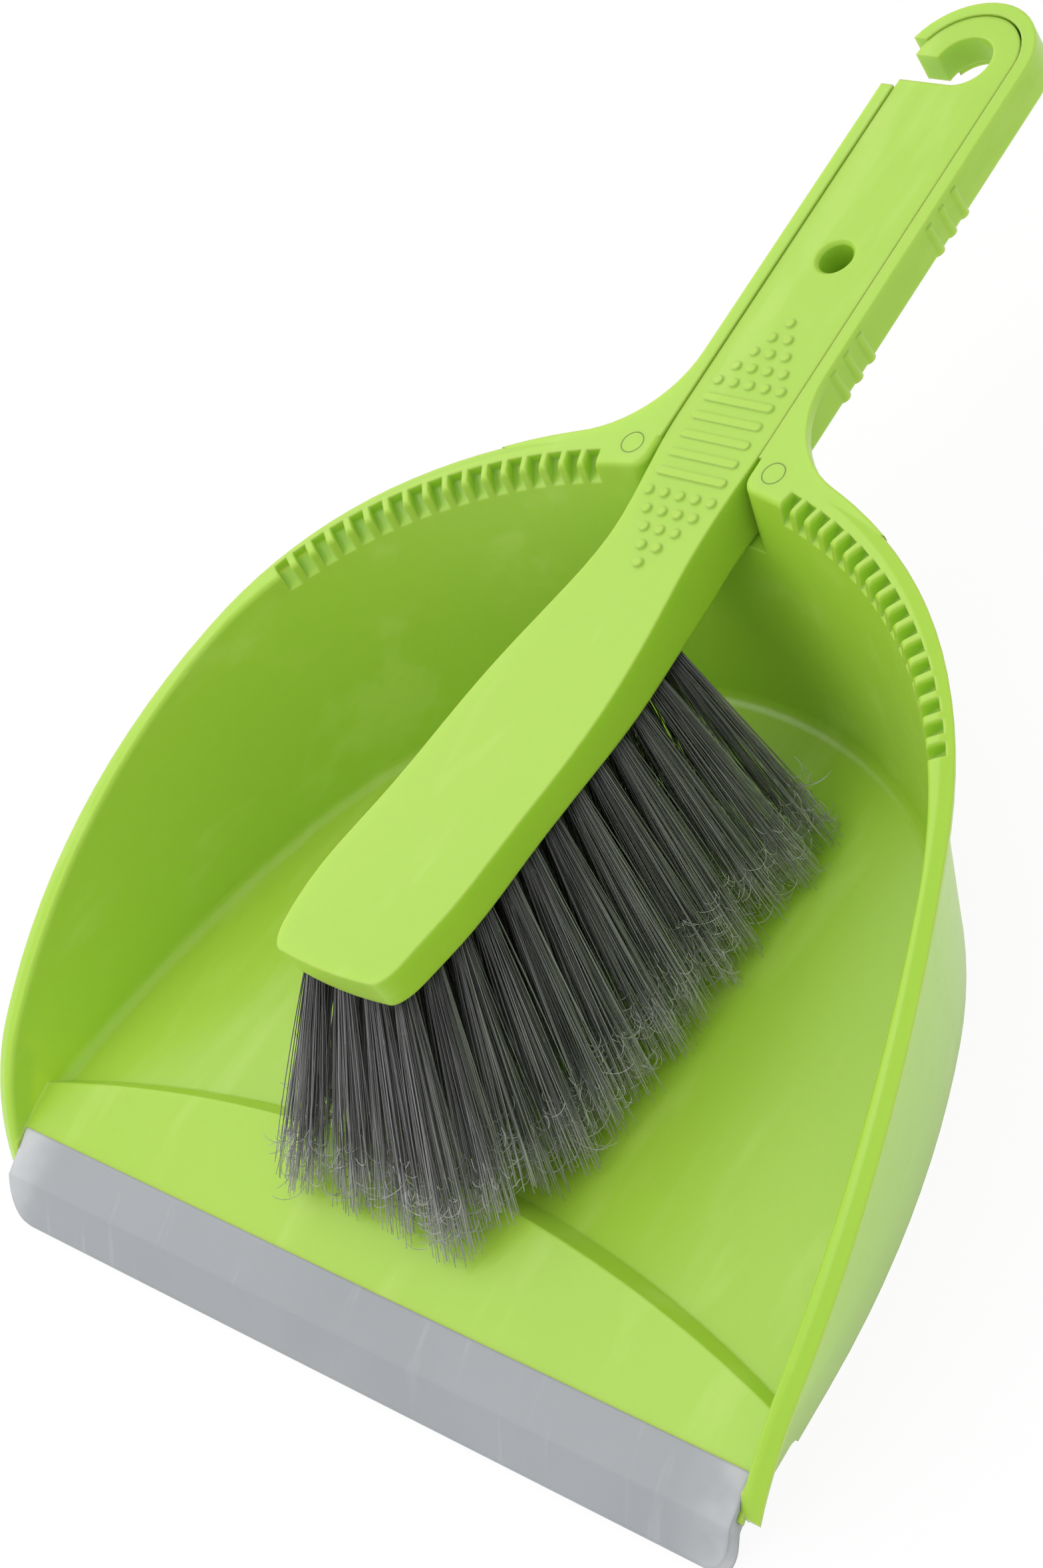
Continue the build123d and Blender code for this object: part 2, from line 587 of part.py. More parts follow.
def broom_plan(inset=0.0):
    """The broom's outline seen from above, from the handle's round head to the block's bowed front."""
    front = MOUTH - BLOCK_FRONT + inset
    start = (BROOM_HALF_WIDTH - inset, MOUTH + BROOM_HANDLE_START)
    side = [(x - inset, MOUTH + y) for y, x in BROOM_PLAN]
    corner = (BLOCK_FRONT_CORNER[1] - inset, MOUTH + BLOCK_FRONT_CORNER[0] + inset)
    end = (BLOCK_FRONT_HALF_WIDTH - inset, front + BLOCK_FRONT_SAG)
    head_radius = HOOK_RADIUS - inset
    head = (head_radius, HOOK_CENTRE)
    head_top = (0, HOOK_CENTRE + head_radius)
    bevel = head_radius * math.sqrt(0.5)
    front_radius = (end[0] ** 2 + BLOCK_FRONT_SAG ** 2) / (2 * BLOCK_FRONT_SAG)
    front_middle = end[0] / 2
    front_drop = front_radius - math.sqrt(front_radius ** 2 - front_middle ** 2)
    half = make_face([
        ThreePointArc(head_top, (bevel, HOOK_CENTRE + bevel), head),
        Line(head, start),
        Spline(start, *side, corner, end, tangents=[(0, -1), (-1, -BLOCK_FRONT_SLOPE)]),
        ThreePointArc(end, (front_middle, front + front_drop), (0, front)),
        Line((0, front), head_top),
    ])
    return half + half.mirror(Plane.YZ)


def underside_points(lift=0.0):
    """The neck's and block's underside in the side view."""
    return [(0, MOUTH + y, RIM_HEIGHT + z + lift) for y, z in BROOM_UNDERSIDE]


def broom_side():
    """The broom's outline in the side view: flat handle, deep neck and rising block."""
    top_start = (0, MOUTH + BROOM_TOP_START, RIM_HEIGHT - BROOM_TOP_DROP)
    top_end = (0, MOUTH - BLOCK_FRONT, RIM_HEIGHT + BLOCK_TOP_AT_FRONT)
    top = [(0, MOUTH + y, RIM_HEIGHT + z) for y, z in BROOM_TOP]
    low_end = (0, MOUTH - BLOCK_FRONT, RIM_HEIGHT + BLOCK_UNDERSIDE_AT_FRONT)
    low = underside_points()
    far = (0, OVERALL_LENGTH, RIM_HEIGHT - BROOM_TOP_DROP)
    far_low = (0, OVERALL_LENGTH, RIM_HEIGHT - BROOM_TOP_DROP - BROOM_HANDLE_THICKNESS)
    step = (0, MOUTH + NECK_START, far_low[2])
    full = (0, MOUTH - NECK_FULL, low[0][2])
    edges = [
        Line(far, top_start),
        Spline(top_start, *top, top_end, tangents=[(0, -1, 0), (0, -1, BLOCK_END_SLOPE)]),
        Line(top_end, low_end),
        Spline(low_end, *reversed(low), tangents=[(0, 1, -BLOCK_END_SLOPE), (0, 1, 0)]),
        Line(low[0], full),
        Line(full, step),
        Line(step, far_low),
        Line(far_low, far),
    ]
    return extrude(make_face(edges), amount=RIM_HALF_WIDTH, dir=(1, 0, 0), both=True)


def height_on(table, y, start, end):
    """Height on one of the side view's curves at a place along the broom, taken between its points."""
    points = [start] + list(table) + [end]
    for (y0, z0), (y1, z1) in zip(points, points[1:]):
        if y <= y0 and y >= y1:
            return z0 + (z1 - z0) * (y0 - y) / (y0 - y1)
    return start[1] if y > start[0] else end[1]


def broom_top_at(y):
    """Height of the broom's top at a distance from the mouth."""
    return RIM_HEIGHT + height_on(
        BROOM_TOP, y, (BROOM_TOP_START, -BROOM_TOP_DROP), (-BLOCK_FRONT, BLOCK_TOP_AT_FRONT))


def underside_at(y):
    """Height of the block's underside at a distance from the mouth."""
    return RIM_HEIGHT + height_on(
        BROOM_UNDERSIDE, y, (-NECK_FULL, BROOM_UNDERSIDE[0][1]), (-BLOCK_FRONT, BLOCK_UNDERSIDE_AT_FRONT))


def row_places():
    """Place of each tuft row along the broom, as a distance from the mouth."""
    pitch = (LAST_ROW - FIRST_ROW) / (TUFT_ROWS - 1)
    return [-(FIRST_ROW + i * pitch) for i in range(TUFT_ROWS)]


def half_width_at(y):
    """Half width of the broom's block at a distance from the mouth."""
    points = [(BROOM_HANDLE_START, BROOM_HALF_WIDTH)] + BROOM_PLAN + [BLOCK_FRONT_CORNER]
    for (y0, x0), (y1, x1) in zip(points, points[1:]):
        if y <= y0 and y >= y1:
            return x0 + (x1 - x0) * (y0 - y) / (y0 - y1)
    return points[-1][1]


def tuft_places(y):
    """Place across the block of each tuft in the row at y."""
    reach = half_width_at(y) - TUFT_EDGE_MARGIN
    return [reach * (2 * i / (TUFTS_ACROSS - 1) - 1) for i in range(TUFTS_ACROSS)]


def bed_solid(inset, lift):
    """The layer of the block's underside that the tufts stand in, set in by inset."""
    first, last = row_places()[0], row_places()[-1]
    pitch = (LAST_ROW - FIRST_ROW) / (TUFT_ROWS - 1)
    rear = MOUTH + first + pitch / 2 - inset
    front = MOUTH + last - BED_FRONT_MARGIN + inset
    low = underside_points()
    low_end = (0, MOUTH - BLOCK_FRONT, RIM_HEIGHT + BLOCK_UNDERSIDE_AT_FRONT)

    def curve(rise):
        points = [(x, y, z + rise) for x, y, z in [low_end] + list(reversed(low))]
        return Spline(*points, tangents=[(0, 1, -BLOCK_END_SLOPE), (0, 1, 0)])

    under, over = curve(0), curve(lift)
    side = make_face([under, Line(under @ 1, over @ 1), over, Line(over @ 0, under @ 0)])
    band = extrude(side, amount=RIM_HALF_WIDTH, dir=(1, 0, 0), both=True)
    plan = broom_plan(BED_RIM + inset)
    window = Pos(0, (rear + front) / 2) * Rectangle(RIM_HALF_WIDTH, rear - front)
    return band & plan_prism(plan & window, 0, RIM_HEIGHT * 2)


def root_columns(radius, extra=0.0):
    """Round columns that stand on the bed where the tufts' roots are, one list for each row."""
    rows = []
    for y in row_places():
        row = []
        for x in tuft_places(y):
            base = underside_at(y) + BED_THICKNESS / 2
            height = BED_THICKNESS / 2 + ROOT_DEPTH + extra
            row.append(Pos(x, MOUTH + y, base) * Cylinder(
                radius, height, align=(Align.CENTER, Align.CENTER, Align.MIN)))
        rows.append(row)
    return rows


def grip_marks():
    """The raised dots in two triangles and the five ridges between them."""
    marks = []

    def dome(x, y):
        return Pos(x, MOUTH + y, broom_top_at(y) - DOT_HEIGHT) * Cylinder(
            DOT_RADIUS, DOT_HEIGHT * 2, align=(Align.CENTER, Align.CENTER, Align.MIN))

    for row in range(DOTS_IN_LONGEST_ROW):
        count = DOTS_IN_LONGEST_ROW - row
        for start, sign in ((UPPER_DOTS, 1), (-LOWER_DOTS, -1)):
            y = start + sign * row * DOT_PITCH
            for i in range(count):
                marks.append(dome((i - (count - 1) / 2) * DOT_PITCH, y))
    for i in range(RIDGES):
        y = RIDGE_FIRST_PLACE - i * RIDGE_PITCH
        bar = SlotOverall(RIDGE_HALF_LENGTH * 2, RIDGE_WIDTH)
        marks.append(Pos(0, 0, broom_top_at(y) - RIDGE_HEIGHT) * plan_prism(
            Pos(0, MOUTH + y) * bar, 0, RIDGE_HEIGHT * 2))
    return marks


def brush_body():
    """The broom's handle, hook, neck and block, one moulding, with sockets for the tufts' roots."""
    body = plan_prism(broom_plan(), 0, RIM_HEIGHT * 2) & broom_side()
    opening = hook_opening(HOOK_HOLE_RADIUS, -HOOK_HOLE_RADIUS, HOOK_TIP_LIFT, 0)
    body = body - plan_prism(opening, 0, RIM_HEIGHT * 2)
    top = RIM_HEIGHT - BROOM_TOP_DROP
    hole = Pos(0, MOUTH + HANG_HOLE, top - BROOM_HANDLE_THICKNESS - CUT_OVERRUN) * Cylinder(
        HANG_HOLE_RADIUS, BROOM_HANDLE_THICKNESS + CUT_OVERRUN * 2, align=(Align.CENTER, Align.CENTER, Align.MIN))
    bevel = Pos(0, MOUTH + HANG_HOLE, top - HANG_HOLE_BEVEL) * Cone(
        HANG_HOLE_RADIUS, HANG_HOLE_RADIUS + HANG_HOLE_BEVEL, HANG_HOLE_BEVEL,
        align=(Align.CENTER, Align.CENTER, Align.MIN))
    body = body - hole - bevel - bed_solid(0, BED_THICKNESS)
    sockets = [c for row in root_columns(
        ROOT_PLUG_RADIUS + ROOT_HOLE_CLEARANCE, ANCHOR_HEIGHT + ROOT_HOLE_CLEARANCE) for c in row]
    body = body - sockets
    return body + grip_marks()


def floor_at(x, y):
    """Height of the pan's floor below a bristle's tip."""
    step = MOUTH - APRON_REAR - APRON_ARC_RADIUS
    apron = math.hypot(x, y - step) < APRON_ARC_RADIUS + APRON_STEP_FOOT
    return apron_height(y) if apron and y < MOUTH - APRON_REAR + APRON_STEP_FOOT else well_height(y)


def strand(root, tip):
    """One bristle: a tapered three-sided prism from its root to its tip."""
    ends = []
    for (x, y, z), share in ((root, 1), (tip, STRAND_TIP_SHARE)):
        ends.append(Pos(x, y, z) * RegularPolygon(STRAND_RADIUS * share, STRAND_SIDES))
    return loft(ends, ruled=True)


def tuft_row(index):
    """One row of tufts: a slice of the bed with its root plugs and all their strands."""
    y = row_places()[index]
    pitch = (LAST_ROW - FIRST_ROW) / (TUFT_ROWS - 1)
    half = pitch / 2 - BED_GAP / 2
    front_half = BED_FRONT_MARGIN if index == TUFT_ROWS - 1 else half
    window = Pos(0, MOUTH + y + (half - front_half) / 2, 0) * Box(
        RIM_HALF_WIDTH, half + front_half, RIM_HEIGHT * 2, align=(Align.CENTER, Align.CENTER, Align.MIN))
    bed = bed_solid(BED_CLEARANCE, BED_THICKNESS - BED_CLEARANCE) & window
    tip_y = -(FIRST_TIP + (LAST_TIP - FIRST_TIP) * index / (TUFT_ROWS - 1))
    places = tuft_places(y)
    strands = []
    for number, x in enumerate(places):
        tip_x = TIP_HALF_WIDTHS[index] * (2 * number / (TUFTS_ACROSS - 1) - 1)
        for i in range(STRANDS_IN_TUFT):
            ring = i > 0
            turn = math.radians(360 * (i - 1) / (STRANDS_IN_TUFT - 1) + 31 * index + 17 * number)
            dx = TUFT_RADIUS * math.cos(turn) * ring
            dy = TUFT_RADIUS * math.sin(turn) * ring
            root = (x + dx, MOUTH + y + dy, underside_at(y + dy) + STRAND_ROOT_SINK)
            end_x = tip_x + dx * TIP_SPREAD_ACROSS
            end_y = MOUTH + tip_y + dy * TIP_SPREAD_ALONG
            ragged = TIP_RAGGED * ((i * 5 + number * 3 + index * 7) % 11) / 10
            strands.append(strand(root, (end_x, end_y, floor_at(end_x, end_y) + TIP_GAP + ragged)))
    plugs = root_columns(ROOT_PLUG_RADIUS)[index]
    return bed.fuse(*plugs, *strands)


def anchor_staples():
    """A flat wire across the top of every root plug, where it pins the folded strands."""
    anchors = []
    for y in row_places():
        for x in tuft_places(y):
            base = underside_at(y) + BED_THICKNESS + ROOT_DEPTH
            anchors.append(Pos(x, MOUTH + y, base) * Box(
                ANCHOR_LENGTH, ANCHOR_THICKNESS, ANCHOR_HEIGHT, align=(Align.CENTER, Align.CENTER, Align.MIN)))
    return Compound(children=anchors)


if __name__ == "__main__":
    os.makedirs("parts", exist_ok=True)
    export_step(dustpan(), "parts/dustpan.step")
    export_step(rubber_lip(), "parts/rubber_lip.step")
    export_step(brush_body(), "parts/brush_body.step")
    for number in range(TUFT_ROWS):
        export_step(tuft_row(number), f"parts/tuft_row_{number + 1:02d}.step")
    export_step(anchor_staples(), "parts/anchor_staples.step")
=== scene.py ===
import math
import random

import bpy
from mathutils import Matrix, Vector


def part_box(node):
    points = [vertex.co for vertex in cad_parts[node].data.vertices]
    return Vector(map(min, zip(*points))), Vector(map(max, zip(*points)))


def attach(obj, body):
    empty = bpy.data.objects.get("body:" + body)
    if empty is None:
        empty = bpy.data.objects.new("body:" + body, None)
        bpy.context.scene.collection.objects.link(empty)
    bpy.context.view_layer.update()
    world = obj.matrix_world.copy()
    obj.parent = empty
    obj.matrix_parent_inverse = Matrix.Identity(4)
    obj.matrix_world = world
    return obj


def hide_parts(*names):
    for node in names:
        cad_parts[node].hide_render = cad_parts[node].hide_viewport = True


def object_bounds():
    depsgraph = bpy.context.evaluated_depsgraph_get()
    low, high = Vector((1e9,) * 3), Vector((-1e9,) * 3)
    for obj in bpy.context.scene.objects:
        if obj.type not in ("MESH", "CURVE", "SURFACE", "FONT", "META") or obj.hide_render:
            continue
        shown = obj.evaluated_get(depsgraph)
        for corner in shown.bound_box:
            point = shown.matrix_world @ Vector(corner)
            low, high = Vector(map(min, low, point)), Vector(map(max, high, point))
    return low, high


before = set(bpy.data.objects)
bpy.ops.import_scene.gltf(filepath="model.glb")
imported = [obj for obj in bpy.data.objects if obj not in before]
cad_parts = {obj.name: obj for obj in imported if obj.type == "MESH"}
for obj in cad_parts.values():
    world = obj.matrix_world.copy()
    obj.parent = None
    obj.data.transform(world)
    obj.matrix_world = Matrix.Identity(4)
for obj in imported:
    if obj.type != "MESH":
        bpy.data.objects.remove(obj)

bl_info = {
    "name": "Hand broom and dustpan set",
    "version": (1, 0, 0),
    "blender": (4, 5, 0),
    "location": "View3D > Sidebar > Broom set",
    "description": "Dresses a hand broom in its dustpan with moulded plastic, rubber and full bristles",
    "category": "Object",
}

# The object's own frame is in metres: +X to the right, +Y to the hooks, Z up from the ground.
CAD_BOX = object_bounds()
ROWS = 13
TUFTS_ACROSS = 4

# Where the tufts stand in the block, from the neck to the front end
ROOT_FIRST = -0.0050
ROOT_LAST = -0.0985
ROOT_HALF_WIDTHS = (
    0.00972, 0.01087, 0.01202, 0.01273, 0.0133, 0.0135, 0.01362,
    0.01374, 0.01389, 0.01408, 0.01426, 0.01362, 0.01228,
)
ROOT_HEIGHTS = (
    0.04875, 0.05006, 0.05138, 0.05275, 0.05415, 0.05543, 0.05647,
    0.05751, 0.05854, 0.05963, 0.06074, 0.0618, 0.06269,
)
# Where their tips end above the dustpan's floor
TIP_FIRST = -0.0175
TIP_LAST = -0.1315
TIP_HALF_WIDTHS = (
    0.037, 0.037, 0.0365, 0.036, 0.0355, 0.035, 0.0345, 0.034, 0.033, 0.0315, 0.0295, 0.0265, 0.023,
)
# The dustpan's floor: height and slope of the well and of the apron, then the centre and radius of the
# arc that just clears the foot of the step between them
WELL = (0.002368, -0.067296)
APRON = (0.030765, 0.119243)
APRON_ARC = (-0.4555, 0.3425)
# How bristles and split hairs are laid: steps along each, sunk root, clearances above the floor
STRAND_SIDES = 3
STRAND_STEPS = 7
HAIR_STEPS = 7
ROOT_SINK = 0.001
TIP_CLEARANCE = 0.0012
HAIR_CLEARANCE = 0.0009
GOLDEN_TURN = 2.39996
SCATTER = 0.13
FIRST_SEED = 410
# Mould pin marks on the dustpan's shoulders: place, half width, height, depth and steps of a ring
PIN_MARK_PLACE = (0.0198, 0.0345)
RING_WIDTH = 0.00016
RING_HEIGHT = 0.00006
RING_SINK = 0.0003
RING_STEPS = 40


def mix_numbers(a, b, share):
    """The number that lies the given share of the way from a to b."""
    return a + (b - a) * share


class Link:
    """A socket of a material's node tree that can be used in sums, so that masks read as formulas."""

    def __init__(self, finish, socket):
        self.finish = finish
        self.socket = socket

    def math(self, operation, *values):
        """One Math node on this socket and the values, or on the values in the order given."""
        return self.finish.node("ShaderNodeMath", {"operation": operation}, dict(enumerate(values)))

    def __add__(self, other):
        return self.math("ADD", self, other)

    def __radd__(self, other):
        return self.math("ADD", other, self)

    def __sub__(self, other):
        return self.math("SUBTRACT", self, other)

    def __rsub__(self, other):
        return self.math("SUBTRACT", other, self)

    def __mul__(self, other):
        return self.math("MULTIPLY", self, other)

    def __abs__(self):
        return self.math("ABSOLUTE", self)

    def above(self, low, high):
        """Rises smoothly from 0 where this is low to 1 where it is high."""
        return self.finish.node(
            "ShaderNodeMapRange", {"interpolation_type": "SMOOTHSTEP"},
            {"Value": self, "From Min": low, "From Max": high, "To Min": 0.0, "To Max": 1.0})


class Finish:
    """A material under construction: its tree, its shader and the coordinates that it is laid out in."""

    def __init__(self, name, **shader):
        self.material = bpy.data.materials.new(name)
        self.material.use_nodes = True
        self.tree = self.material.node_tree
        self.shader = self.tree.nodes["Principled BSDF"]
        for socket, value in shader.items():
            self.shader.inputs[socket.replace("_", " ")].default_value = value
        self.place = self.node("ShaderNodeTexCoord", output="Object")

    def node(self, kind, settings=None, values=None, output=0):
        """Adds a node, sets it up, fills or links its sockets and gives back one of its outputs."""
        node = self.tree.nodes.new(kind)
        for key, value in (settings or {}).items():
            setattr(node, key, value)
        for key, value in (values or {}).items():
            if isinstance(value, Link):
                self.tree.links.new(value.socket, node.inputs[key])
            else:
                node.inputs[key].default_value = value
        return Link(self, node.outputs[output])

    def noise(self, scale, detail=2.0, roughness=0.5, stretch=None):
        """Smooth noise between 0 and 1, with its scale in waves a metre."""
        where = self.place
        if stretch:
            where = self.node("ShaderNodeVectorMath", {"operation": "MULTIPLY"}, {0: where, 1: stretch})
        return self.node("ShaderNodeTexNoise", None, {
            "Vector": where, "Scale": scale, "Detail": detail, "Roughness": roughness})

    def blend(self, share, first, second):
        """A colour between two colours."""
        return self.node("ShaderNodeMix", {"data_type": "RGBA"}, {
            0: share, 6: first, 7: second}, output=2)

    def axis(self, name):
        """One coordinate of the place on the object, in metres."""
        return self.node("ShaderNodeSeparateXYZ", None, {0: self.place}, output="XYZ".index(name))

    def soft_edges(self, radius):
        """The surface's direction with its sharp edges rounded to a radius."""
        return self.node("ShaderNodeBevel", {"samples": 6}, {"Radius": radius})

    def edge_share(self, rounded):
        """Near 1 on the rounded edges and 0 elsewhere."""
        plain = self.node("ShaderNodeNewGeometry", output="Normal")
        same = self.node(
            "ShaderNodeVectorMath", {"operation": "DOT_PRODUCT"}, {0: rounded, 1: plain}, output=1)
        return (1.0 - same).above(0.01, 0.25)

    def bump(self, height, strength, distance, normal=None):
        """Presses a height into the surface's direction."""
        values = {"Height": height, "Strength": strength, "Distance": distance}
        if normal is not None:
            values["Normal"] = normal
        return self.node("ShaderNodeBump", None, values)

    def feed(self, **links):
        """Links what varies over the surface to the shader's sockets."""
        for socket, value in links.items():
            self.tree.links.new(value.socket, self.shader.inputs[socket.replace("_", " ")])
        return self.material


def linear(colour, alpha=1.0):
    """A colour that is written as it looks, as the shader's linear numbers."""
    return tuple(c / 12.92 if c <= 0.04045 else ((c + 0.055) / 1.055) ** 2.4 for c in colour) + (alpha,)


def moulded_plastic(name, colour, pale, deep, roughness, edge, streak_axis):
    """Semi-gloss moulded plastic: faint flow marks, fine tool grain, scuffs and painted edge highlights."""
    finish = Finish(
        name, Specular_IOR_Level=0.5, IOR=1.46, Subsurface_Weight=0.35, Subsurface_Scale=0.005,
        Subsurface_Radius=(0.8, 1.0, 0.2))
    cloud = finish.noise(9.0, 3.0)
    stretch = tuple(14.0 if axis == streak_axis else 70.0 for axis in "XYZ")
    streak = finish.noise(1.0, 3.0, 0.6, stretch=stretch)
    speck = finish.noise(420.0, 4.0, 0.65)
    grain = finish.noise(2600.0, 2.0)
    orange_peel = finish.noise(160.0, 1.0)
    rounded = finish.soft_edges(edge)
    painted_edge_highlight = finish.edge_share(rounded)
    tone = finish.blend(cloud.above(0.35, 0.7) * 0.5, colour, deep)
    tone = finish.blend(streak.above(0.52, 0.72) * 0.22, tone, pale)
    tone = finish.blend(speck.above(0.74, 0.8) * 0.35, tone, deep)
    # Painted highlight: pale lime laid along every sharp edge, hollow or raised, as if the edges caught the
    # light.
    tone = finish.blend(painted_edge_highlight * 0.55, tone, pale)
    gloss = roughness + cloud * 0.06 + speck.above(0.55, 0.75) * 0.08 - painted_edge_highlight * 0.06
    height = grain * 0.25 + orange_peel * 0.9 + streak * 0.5
    normal = finish.bump(height, 0.22, 0.0001, rounded)
    return finish.feed(Base_Color=tone, Roughness=gloss, Normal=normal)


def lip_rubber(name, colour, pale, deep, half_width):
    """Grey soft rubber: matt, with rubbed pale ends and faint drag marks."""
    finish = Finish(name, Specular_IOR_Level=0.4, IOR=1.5)
    side = abs(finish.axis("X"))
    cloud = finish.noise(22.0, 4.0, 0.6)
    drag = finish.noise(1.0, 3.0, 0.55, stretch=(240.0, 26.0, 26.0))
    grain = finish.noise(1900.0, 3.0, 0.6)
    rub = side.above(half_width - 0.016, half_width) * cloud.above(0.35, 0.62)
    rounded = finish.soft_edges(0.0014)
    painted_edge_highlight = finish.edge_share(rounded)
    tone = finish.blend(cloud.above(0.3, 0.75) * 0.35, colour, deep)
    tone = finish.blend(drag.above(0.6, 0.75) * 0.12, tone, pale)
    tone = finish.blend(rub * 0.6, tone, pale)
    # Painted highlight: pale grey laid along every sharp edge of the lip.
    tone = finish.blend(painted_edge_highlight * 0.25, tone, pale)
    gloss = 0.46 + cloud * 0.12 + rub * 0.1
    normal = finish.bump(grain * 0.5 + drag * 0.25, 0.2, 0.0001, rounded)
    return finish.feed(Base_Color=tone, Roughness=gloss, Normal=normal)


def bristle_fibre(name, colour, pale, deep):
    """Grey drawn filament: painted shade among the roots, each strand its own tone, frayed pale tips."""
    finish = Finish(name, Specular_IOR_Level=0.45, IOR=1.5)
    along = finish.node("ShaderNodeAttribute", {"attribute_name": "along"}, None, output=2)
    shade = finish.node("ShaderNodeAttribute", {"attribute_name": "shade"}, None, output=2)
    fleck = finish.noise(900.0, 2.0, stretch=(1.0, 1.0, 0.3))
    tone = finish.blend(shade, deep, colour)
    # Painted shade: strands darken towards their roots, where the tufts shade one another.
    tone = finish.blend((1.0 - along.above(0.0, 0.55)) * 0.55, tone, deep)
    tone = finish.blend(along.above(0.72, 1.0) * 0.7 + fleck.above(0.6, 0.75) * 0.12, tone, pale)
    gloss = 0.3 + along * 0.22 + shade * 0.1
    normal = finish.bump(fleck, 0.15, 0.00004)
    return finish.feed(Base_Color=tone, Roughness=gloss, Normal=normal)


def anchor_metal(name, colour):
    """Drawn steel wire with fine lengthwise scratches and a little tarnish."""
    finish = Finish(name, Metallic=1.0)
    scratch = finish.noise(1.0, 3.0, 0.7, stretch=(300.0, 4000.0, 4000.0))
    stain = finish.noise(700.0, 3.0)
    tone = finish.blend(stain.above(0.5, 0.75) * 0.5, colour, linear((0.42, 0.38, 0.33)))
    gloss = 0.28 + scratch * 0.15 + stain * 0.1
    normal = finish.bump(scratch, 0.3, 0.00003)
    return finish.feed(Base_Color=tone, Roughness=gloss, Normal=normal)


def floor_paper(name, colour, glow):
    """White studio floor that keeps the object's soft shadow and looks white to the camera."""
    finish = Finish(name, Roughness=0.85, Specular_IOR_Level=0.1)
    fibre = finish.noise(300.0, 3.0)
    tone = finish.blend(fibre.above(0.3, 0.8) * 0.02, colour, linear((0.9, 0.9, 0.9)))
    material = finish.feed(Base_Color=tone)
    seen = finish.node("ShaderNodeLightPath", output="Is Camera Ray")
    mirrored = finish.node("ShaderNodeLightPath", output="Is Glossy Ray")
    through = finish.node("ShaderNodeLightPath", output="Is Transmission Ray")
    light = finish.node("ShaderNodeEmission", None, {"Color": (1.0, 1.0, 1.0, 1.0), "Strength": 1.0})
    share = (seen + mirrored + through) * glow
    both = finish.node("ShaderNodeMixShader", None, {
        0: share, 1: Link(finish, finish.shader.outputs[0]), 2: light})
    output = finish.tree.nodes["Material Output"]
    finish.tree.links.new(both.socket, output.inputs["Surface"])
    return material


def paint(node_names, material):
    """Gives CAD nodes a finish."""
    for name in node_names:
        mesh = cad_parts[name].data
        mesh.materials.clear()
        mesh.materials.append(material)


def floor_under(x, y):
    """Height of the dustpan's floor below a bristle."""
    centre, radius = APRON_ARC
    height, slope = APRON if math.hypot(x, y - centre) < radius else WELL
    return height + slope * y


class Strands:
    """Collects thin tapered strands into one mesh, with a shade and a length share at each point."""

    def __init__(self, sides):
        self.sides = sides
        self.points = []
        self.faces = []
        self.along = []
        self.shade = []

    def add(self, line, thick, thin, shade, first=0.0, last=1.0):
        """One strand along a line of points, from a thick root to a thin tip."""
        start = len(self.points)
        count = len(line)
        turn = (len(self.faces) % 7) * 0.9
        for i, point in enumerate(line):
            ahead = line[min(i + 1, count - 1)] - line[max(i - 1, 0)]
            side = ahead.orthogonal().normalized()
            across = ahead.cross(side).normalized()
            share = i / (count - 1)
            radius = mix_numbers(thick, thin, share)
            for k in range(self.sides):
                angle = turn + math.tau * k / self.sides
                self.points.append(point + (side * math.cos(angle) + across * math.sin(angle)) * radius)
                self.along.append(mix_numbers(first, last, share))
                self.shade.append(shade)
        for i in range(count - 1):
            for k in range(self.sides):
                a = start + i * self.sides + k
                b = start + i * self.sides + (k + 1) % self.sides
                self.faces.append((a, b, b + self.sides, a + self.sides))
        self.faces.append(tuple(start + k for k in reversed(range(self.sides))))
        self.faces.append(tuple(start + (count - 1) * self.sides + k for k in range(self.sides)))

    def piece(self, name, material):
        """The strands as one object."""
        mesh = bpy.data.meshes.new(name)
        mesh.from_pydata(self.points, [], self.faces)
        for attribute, values in (("along", self.along), ("shade", self.shade)):
            layer = mesh.attributes.new(attribute, "FLOAT", "POINT")
            layer.data.foreach_set("value", values)
        mesh.polygons.foreach_set("use_smooth", [True] * len(mesh.polygons))
        mesh.materials.append(material)
        piece = bpy.data.objects.new(name, mesh)
        bpy.context.scene.collection.objects.link(piece)
        return piece


def strand_line(root, tip, bow, wave, dice, steps):
    """Points of one bristle from its root to its tip, bowed a little and wavier near its tip."""
    run = tip - root
    side = run.orthogonal().normalized()
    across = run.cross(side).normalized()
    turn = dice.uniform(0.0, math.tau)
    out = side * math.cos(turn) + across * math.sin(turn)
    phase = dice.uniform(0.0, math.tau)
    line = []
    for i in range(steps + 1):
        share = i / steps
        sag = bow * math.sin(math.pi * share)
        shake = wave * share ** 3 * math.sin(phase + share * 9.0)
        line.append(root + run * share + out * sag + side * shake)
    return line


def curl_line(start, way, size, dice, steps):
    """Points of one split hair that curls away from a tip."""
    side = way.orthogonal().normalized()
    side.rotate(Matrix.Rotation(dice.uniform(0.0, math.tau), 3, way))
    bend = dice.uniform(1.2, 3.4)
    line = [start]
    heading = (way + side * dice.uniform(0.1, 0.7)).normalized()
    axis = heading.cross(side).normalized()
    for _ in range(steps):
        heading.rotate(Matrix.Rotation(bend / steps, 3, axis))
        line.append(line[-1] + heading * size / steps)
    return line


